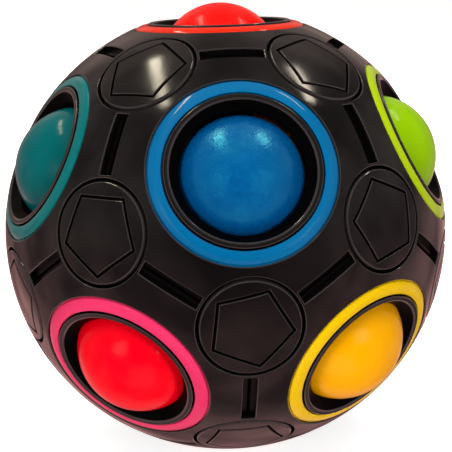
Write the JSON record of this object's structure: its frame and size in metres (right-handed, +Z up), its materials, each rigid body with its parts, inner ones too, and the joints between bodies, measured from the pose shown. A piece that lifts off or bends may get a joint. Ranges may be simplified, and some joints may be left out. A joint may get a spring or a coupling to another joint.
{
  "type": "mechanical puzzle ball",
  "caption": "Black puzzle ball of five-sided panels with ringed round holes, loose coloured balls that push in and cross to an empty hole, and round corner caps.",
  "frame": {"origin": "middle of the flat lip of the empty hole, which the ball stands on, straight below the ball's centre", "axes": "+Z up through the top hole, -Y out towards the blue hole's side"},
  "size_m": [0.07, 0.07, 0.0692],
  "materials": {
    "black_plastic": "gloss",
    "inner_rubber": "soft matt",
    "ring_red": "gloss",
    "ring_blue": "gloss",
    "ring_lime": "gloss",
    "ring_orange": "gloss",
    "ring_purple": "gloss",
    "ring_teal": "gloss",
    "ring_yellow": "gloss",
    "ring_sky": "gloss",
    "ring_white": "gloss",
    "ring_green": "gloss",
    "ring_pink": "gloss",
    "ring_brown": "gloss",
    "ball_red": "gloss",
    "ball_blue": "gloss",
    "ball_lime": "gloss",
    "ball_orange": "gloss",
    "ball_purple": "gloss",
    "ball_teal": "gloss",
    "ball_yellow": "gloss",
    "ball_sky": "gloss",
    "ball_white": "gloss",
    "ball_green": "gloss",
    "ball_pink": "gloss"
  },
  "bodies": {
    "shell": {"panel_red": "black_plastic", "panel_blue": "black_plastic", "panel_lime": "black_plastic", "panel_orange": "black_plastic", "panel_purple": "black_plastic", "panel_teal": "black_plastic", "panel_yellow": "black_plastic", "panel_sky": "black_plastic", "panel_white": "black_plastic", "panel_green": "black_plastic", "panel_pink": "black_plastic", "panel_brown": "black_plastic", "ring_red": "ring_red", "ring_blue": "ring_blue", "ring_lime": "ring_lime", "ring_orange": "ring_orange", "ring_purple": "ring_purple", "ring_teal": "ring_teal", "ring_yellow": "ring_yellow", "ring_sky": "ring_sky", "ring_white": "ring_white", "ring_green": "ring_green", "ring_pink": "ring_pink", "ring_brown": "ring_brown", "cap_top_1": "black_plastic", "cap_top_2": "black_plastic", "cap_top_3": "black_plastic", "cap_top_4": "black_plastic", "cap_top_5": "black_plastic", "cap_upper_1": "black_plastic", "cap_upper_2": "black_plastic", "cap_upper_3": "black_plastic", "cap_upper_4": "black_plastic", "cap_upper_5": "black_plastic", "cap_lower_1": "black_plastic", "cap_lower_2": "black_plastic", "cap_lower_3": "black_plastic", "cap_lower_4": "black_plastic", "cap_lower_5": "black_plastic", "cap_bottom_1": "black_plastic", "cap_bottom_2": "black_plastic", "cap_bottom_3": "black_plastic", "cap_bottom_4": "black_plastic", "cap_bottom_5": "black_plastic", "inner_ball": "inner_rubber"},
    "red_ball": {"ball_red": "ball_red"},
    "blue_ball": {"ball_blue": "ball_blue"},
    "lime_ball": {"ball_lime": "ball_lime"},
    "orange_ball": {"ball_orange": "ball_orange"},
    "purple_ball": {"ball_purple": "ball_purple"},
    "teal_ball": {"ball_teal": "ball_teal"},
    "yellow_ball": {"ball_yellow": "ball_yellow"},
    "sky_ball": {"ball_sky": "ball_sky"},
    "white_ball": {"ball_white": "ball_white"},
    "green_ball": {"ball_green": "ball_green"},
    "pink_ball": {"ball_pink": "ball_pink"}
  },
  "joints": [
    {"name": "red_ball_press", "type": "slide", "parent": "shell", "child": "red_ball", "axis": [0, 0, -1], "range_m": [-0.0013, 0.004], "stiffness_N_per_m": 300, "deforming": ["inner_ball"]},
    {"name": "blue_ball_press", "type": "slide", "parent": "shell", "child": "blue_ball", "axis": [0, 0.8944, -0.4472], "range_m": [-0.001, 0.0043], "stiffness_N_per_m": 300, "deforming": ["inner_ball"]},
    {"name": "lime_ball_press", "type": "slide", "parent": "shell", "child": "lime_ball", "axis": [-0.8507, 0.2764, -0.4472], "range_m": [-0.001, 0.0043], "stiffness_N_per_m": 300, "deforming": ["inner_ball"]},
    {"name": "orange_ball_press", "type": "slide", "parent": "shell", "child": "orange_ball", "axis": [-0.5257, -0.7236, -0.4472], "range_m": [-0.001, 0.0043], "stiffness_N_per_m": 300, "deforming": ["inner_ball"]},
    {"name": "purple_ball_press", "type": "slide", "parent": "shell", "child": "purple_ball", "axis": [0.5257, -0.7236, -0.4472], "range_m": [-0.001, 0.0043], "stiffness_N_per_m": 300, "deforming": ["inner_ball"]},
    {"name": "teal_ball_press", "type": "slide", "parent": "shell", "child": "teal_ball", "axis": [0.8507, 0.2764, -0.4472], "range_m": [-0.001, 0.0043], "stiffness_N_per_m": 300, "deforming": ["inner_ball"]},
    {"name": "yellow_ball_cross", "type": "hinge", "parent": "shell", "child": "yellow_ball", "pos_m": [0.01443, -0.01986, -0.01197], "axis": [0.809, 0.5878, 0], "range_deg": [-49.12, 0], "deforming": ["inner_ball"]},
    {"name": "sky_ball_press", "type": "slide", "parent": "shell", "child": "sky_ball", "axis": [-0.8507, -0.2764, 0.4472], "range_m": [0, 0.0053], "stiffness_N_per_m": 300, "deforming": ["inner_ball"]},
    {"name": "white_ball_press", "type": "slide", "parent": "shell", "child": "white_ball", "axis": [0, -0.8944, 0.4472], "range_m": [0, 0.0053], "stiffness_N_per_m": 300, "deforming": ["inner_ball"]},
    {"name": "green_ball_press", "type": "slide", "parent": "shell", "child": "green_ball", "axis": [0.8507, -0.2764, 0.4472], "range_m": [0, 0.0053], "stiffness_N_per_m": 300, "deforming": ["inner_ball"]},
    {"name": "pink_ball_cross", "type": "hinge", "parent": "shell", "child": "pink_ball", "pos_m": [-0.01443, -0.01986, -0.01197], "axis": [-0.809, 0.5878, 0], "range_deg": [0, 49.12], "deforming": ["inner_ball"]}
  ]
}
